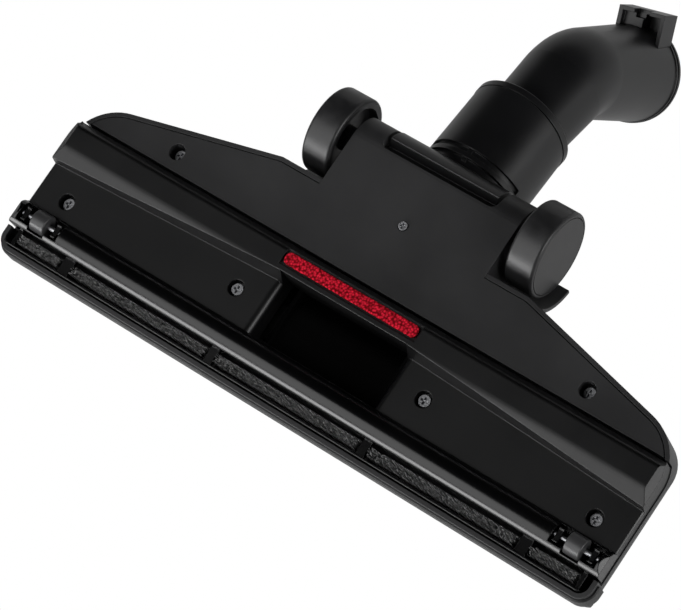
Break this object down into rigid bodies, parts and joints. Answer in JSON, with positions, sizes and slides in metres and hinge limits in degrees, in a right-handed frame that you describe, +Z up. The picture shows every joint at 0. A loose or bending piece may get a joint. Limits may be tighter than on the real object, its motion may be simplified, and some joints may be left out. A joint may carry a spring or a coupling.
{
  "type": "vacuum floor head",
  "caption": "Wide combination floor head of a vacuum cleaner: sole with suction slot, rollers, wheels, lifting brush, pedal, tilting knuckle and swivelling elbow for a tube.",
  "frame": {"origin": "on the floor, under the middle of the part's width and length", "axes": "+Z up, -Y towards the front edge of the head, +Y towards the tube, +X to the left hand of the person who pushes it"},
  "size_m": [0.2832, 0.2398, 0.1256],
  "materials": {
    "housing_black": "fine textured, charcoal black",
    "sole_black": "satin, black",
    "wheel_grey": "satin, dark grey",
    "roller_grey": "satin, mid grey",
    "soft_black": "matt, dark",
    "tread_grey": "satin, grey",
    "bristle_grey": "nylon bristles",
    "velour_red": "directional velour, red",
    "steel": "zinc plated"
  },
  "bodies": {
    "head": {"top_housing": "housing_black", "sole_plate": "sole_black", "rear_base_plate": "housing_black", "front_bumper": "soft_black", "air_duct": "housing_black", "duct_seal": "soft_black", "sole_screws": "steel", "base_plate_screws": "steel", "centre_screw": "steel", "lint_strip": "velour_red", "pedal_pin": "steel", "wheel_axle_left": "steel", "wheel_axle_right": "steel", "axle_clip_left": "steel", "axle_clip_right": "steel"},
    "neck": {"neck_knuckle": "housing_black"},
    "elbow": {"swivel_collar": "housing_black", "swivel_seal": "soft_black", "elbow_pipe": "housing_black", "parking_hook": "housing_black"},
    "pedal": {"foot_pedal": "housing_black"},
    "brush": {"brush_carrier": "wheel_grey", "bristle_blocks": "bristle_grey"},
    "wheel_left": {"wheel_hub_left": "wheel_grey", "wheel_tread_left": "tread_grey", "wheel_cap_left": "wheel_grey"},
    "wheel_right": {"wheel_hub_right": "wheel_grey", "wheel_tread_right": "tread_grey", "wheel_cap_right": "wheel_grey"},
    "roller_left": {"front_roller_left": "roller_grey", "roller_pin_left": "steel"},
    "roller_right": {"front_roller_right": "roller_grey", "roller_pin_right": "steel"}
  },
  "joints": [
    {"name": "neck_tilt", "type": "hinge", "parent": "head", "child": "neck", "pos_m": [0, -0.01035, 0.0182], "axis": [1, 0, 0], "range_deg": [-19, 38]},
    {"name": "elbow_swivel", "type": "hinge", "parent": "neck", "child": "elbow", "pos_m": [0, 0.03211, 0.04578], "axis": [0, 0.9426, 0.3338], "range_deg": [-90, 90]},
    {"name": "pedal_rock", "type": "hinge", "parent": "head", "child": "pedal", "pos_m": [0, -0.08595, 0.03], "axis": [1, 0, 0], "range_deg": [0, 9]},
    {"name": "brush_lift", "type": "slide", "parent": "head", "child": "brush", "axis": [0, 0, -1], "range_m": [0, 0.0041]},
    {"name": "wheel_left_turn", "type": "hinge", "parent": "head", "child": "wheel_left", "pos_m": [0.04835, -0.01035, 0.0182], "axis": [1, 0, 0], "continuous": true},
    {"name": "roller_left_turn", "type": "hinge", "parent": "head", "child": "roller_left", "pos_m": [0.1272, -0.10265, 0.0045], "axis": [1, 0, 0], "continuous": true},
    {"name": "wheel_right_turn", "type": "hinge", "parent": "head", "child": "wheel_right", "pos_m": [-0.04835, -0.01035, 0.0182], "axis": [1, 0, 0], "continuous": true},
    {"name": "roller_right_turn", "type": "hinge", "parent": "head", "child": "roller_right", "pos_m": [-0.1272, -0.10265, 0.0045], "axis": [1, 0, 0], "continuous": true}
  ],
  "couplings": [
    {"joint": "pedal_rock", "follows": "brush_lift", "rad_per_m": 38.1}
  ]
}
